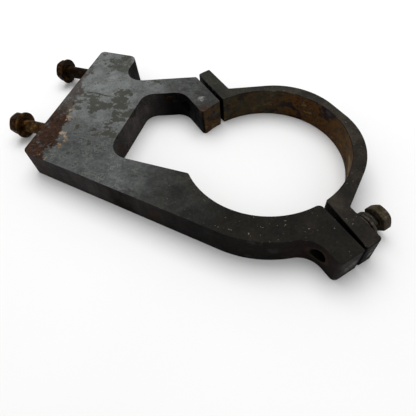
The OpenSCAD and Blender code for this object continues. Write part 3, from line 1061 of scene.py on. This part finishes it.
def clamp_holes(p, colour):
    """Painted shade within a radius of each hole's axis, and a rusty collar just past it under the free
    ear.
    """
    beside = p.plus(p.math("ABSOLUTE", p.along_split), -HOLE_PLACE)
    apart = p.length(beside, p.plus(p.z, -MIDDLE))
    collar = p.times(p.step(apart, 0.0105, 0.0072), p.step(p.along_bolt, -0.0210, -0.0228))
    free_ear = p.times(p.upright, p.step(p.along_split, 0.0, 0.02))
    colour = p.lay(colour, COLLAR, 0.75, collar, free_ear, p.step(p.cloud, 0.40, 0.56))
    # Painted shade: near black inside each hole.
    hole = p.times(p.step(apart, 0.00690, 0.00620), p.step(p.along_bolt, -0.040, -0.034))
    return p.lay(colour, HOLE_SHADE, 0.96, hole)


def finish_plate(p):
    """Dull gloss that follows the clouds, and relief from clouds, upright saw lines and grit."""
    saw_lines = p.noise(260.0, 3.0, 0.6, p.stretched(1.0, 1.0, 0.05))
    p.relief((
        (p.cloud, 0.0010, 0.35),
        (p.times(saw_lines, p.upright), 0.0010, 0.40),
        (p.grit, 0.00040, 0.60),
    ))
    return p.finish(p.colour, p.step(p.cloud, 0.3, 0.7, 0.55, 0.80), specular=0.04)


put_on(clamp_holes, body_paint, cap_paint)
body.data.materials.append(finish_plate(body_paint))
cap.data.materials.append(finish_plate(cap_paint))

# %% [markdown]
# Rusted bolts
#
# The two mounting bolts stood in the weather and are brown to black, with ochre where rust has
# caught the rim of a washer. The clamp bolt is cleaner: dull zinc with a brown bloom. All finishes
# come from one recipe with different colours. A noise picks the stage of rust at each place, a finer
# one adds grain, and the same grain lifts the surface a little so that the rust looks thick. Under a
# head or a washer little light comes in, so two of the shanks are darker below a level.

# %% Bolt finish
def bolt_material(name, stages, bloom, bloom_share, gloss, specular, shank=None):
    """Rust stages picked by noise, a bloom in patches, and grain in colour and relief.

    shank darkens the bolt below a level: (axis, level along it in mm, share of light left).
    """
    p = Paint(name)
    stage = p.noise(150.0, 8.0, 0.72)
    grain = p.noise(900.0, 4.0, 0.7)
    patch = p.blotches(0.60 - bloom_share, 0.68 - bloom_share, 190.0, 5.0, 0.65)
    colour = p.lay(p.ramp(stage, stages), bloom, 0.8, patch)
    colour = p.shade(colour, p.step(grain, 0.28, 0.72, 0.66, 1.30))
    if shank:
        axis, level, left = shank
        colour = p.shade(colour, p.step(p.along(axis), (level - 0.8) * MM, (level + 0.1) * MM, left, 1.0))
    p.relief(((stage, 0.0007, 0.40), (grain, 0.00025, 0.5)))
    return p.finish(colour, p.step(stage, 0.3, 0.7, *gloss), specular)

# %% [markdown]
# Four finishes from the recipe
#
# The lower bolt and its washers are the brownest. The upper bolt is nearly black. The clamp bolt has
# its zinc, and its loose washers are a plain worn grey. Each finish is a row of rust stages from dark
# to bright, with the colour of its bloom.

# %% Bolt and washer materials
CLAMP_UNDERSIDE = reach("clamp_bolt", CLAMP_AXES)[1][2] - HEAD_HEIGHT
UPPER_SEAT = reach("upper_mount_flat_washer", MOUNT_AXES)[0][2]

mount_rust = bolt_material(
    "mount_bolt_rust",
    stages=((0.34, (0.0045, 0.0018, 0.0005)), (0.45, (0.017, 0.0070, 0.0016)),
            (0.54, (0.044, 0.020, 0.0045)), (0.66, (0.100, 0.060, 0.018))),
    bloom=(0.128, 0.070, 0.018), bloom_share=-0.01, gloss=(0.38, 0.70), specular=0.04,
)
black_rust = bolt_material(
    "upper_bolt_black",
    stages=((0.34, (0.0024, 0.0009, 0.0003)), (0.45, (0.0090, 0.0038, 0.0010)),
            (0.56, (0.025, 0.0112, 0.0028)), (0.68, (0.075, 0.040, 0.0110))),
    bloom=(0.066, 0.032, 0.007), bloom_share=-0.02, gloss=(0.40, 0.70), specular=0.03,
    shank=(MOUNT_AXES[2], UPPER_SEAT, 0.38),
)
clamp_zinc = bolt_material(
    "clamp_bolt_zinc",
    stages=((0.34, (0.0080, 0.0053, 0.0024)), (0.45, (0.023, 0.0168, 0.0088)),
            (0.55, (0.038, 0.029, 0.0160)), (0.68, (0.100, 0.083, 0.058))),
    bloom=(0.028, 0.0145, 0.0055), bloom_share=0.04, gloss=(0.34, 0.60), specular=0.05,
    shank=(CLAMP_AXES[2], CLAMP_UNDERSIDE, 0.10),
)
washer_grey = bolt_material(
    "clamp_washer_grey",
    stages=((0.34, (0.0078, 0.0064, 0.0047)), (0.45, (0.022, 0.0185, 0.0138)),
            (0.55, (0.041, 0.035, 0.027)), (0.68, (0.090, 0.077, 0.058))),
    bloom=(0.050, 0.038, 0.021), bloom_share=-0.02, gloss=(0.40, 0.65), specular=0.06,
)
finishes = (
    (mount_rust, (lower_bolt, lower_flat, lower_coil)),
    (black_rust, (upper_bolt, upper_flat)),
    (clamp_zinc, (clamp_bolt,)),
    (washer_grey, (clamp_flat, clamp_coil)),
)
for material, pieces in finishes:
    for piece in pieces:
        piece.data.materials.append(material)

# %% [markdown]
# The floor's finish
#
# The floor stays plain, so the eye goes to the part. A trace of noise keeps it from looking like an
# empty background.

# %% Floor material
FLOOR_TONES = ((0.3, (0.880, 0.880, 0.880)), (0.7, (0.905, 0.905, 0.905)))


def floor_material():
    """Pale matte grey with a faint cloudiness."""
    p = Paint("pale_floor")
    return p.finish(p.ramp(p.noise(3.0, 3.0), FLOOR_TONES), 0.9, specular=0.1)


floor.data.materials.append(floor_material())
